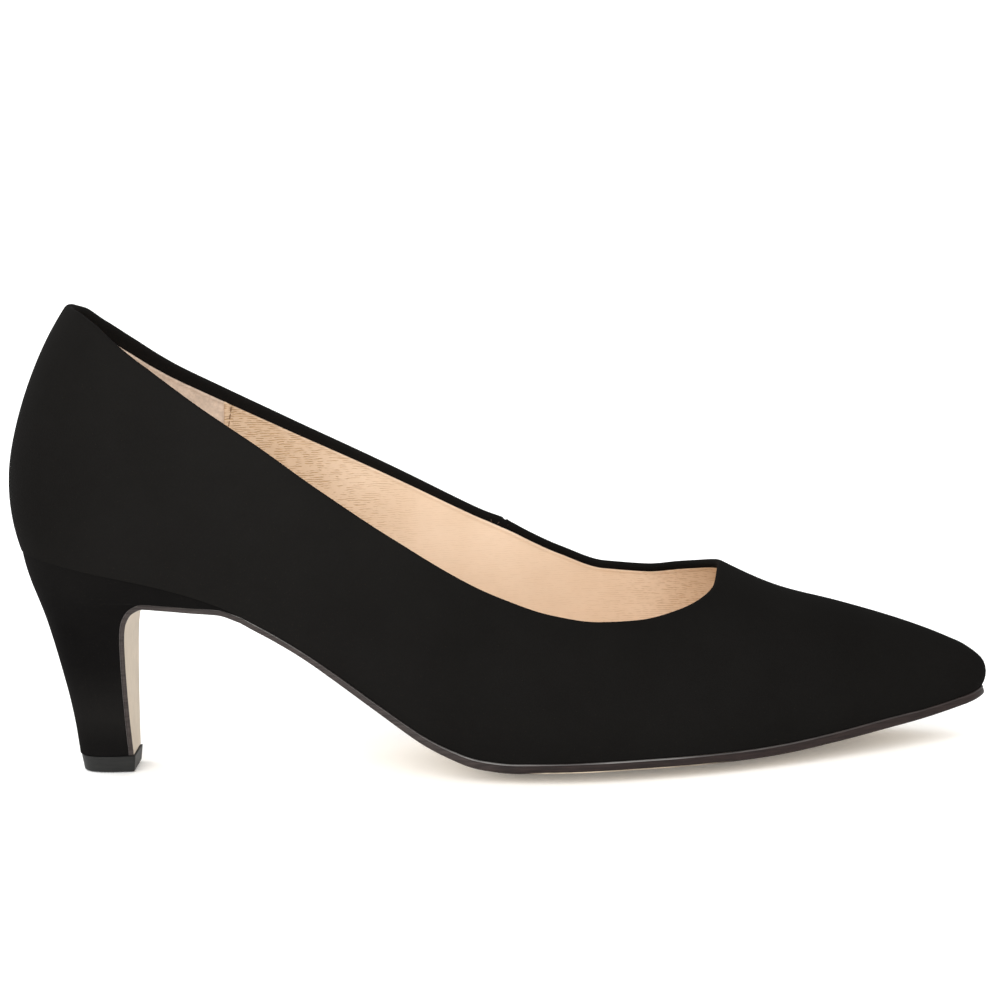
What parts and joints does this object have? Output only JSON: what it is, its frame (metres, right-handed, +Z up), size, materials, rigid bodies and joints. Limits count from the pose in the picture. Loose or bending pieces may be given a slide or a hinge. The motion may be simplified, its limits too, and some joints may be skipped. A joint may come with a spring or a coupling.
{
  "type": "kitten heel pump",
  "caption": "Right pointed-toe pump in black suede with a low topline, beige lining, a thin outsole that runs down the front of a slim covered heel, and a rubber top lift.",
  "frame": {"origin": "on the floor under the middle of the shoe's box", "axes": "+X to the toe, +Y to the medial (inner) side, -Y to the lateral (outer) side, +Z up"},
  "size_m": [0.2529, 0.0792, 0.1239],
  "materials": {
    "upper_suede": "napped black suede, matt",
    "insole_leather": "smooth beige lining leather, satin",
    "sole_leather": "beige sole leather with a burnished dark edge",
    "heel_suede": "black suede over a moulded heel block, matt",
    "lift_rubber": "moulded charcoal rubber, satin"
  },
  "bodies": {
    "root": {"upper": "upper_suede", "insole": "insole_leather", "outsole": "sole_leather", "heel": "heel_suede", "top_lift": "lift_rubber"}
  },
  "joints": []
}
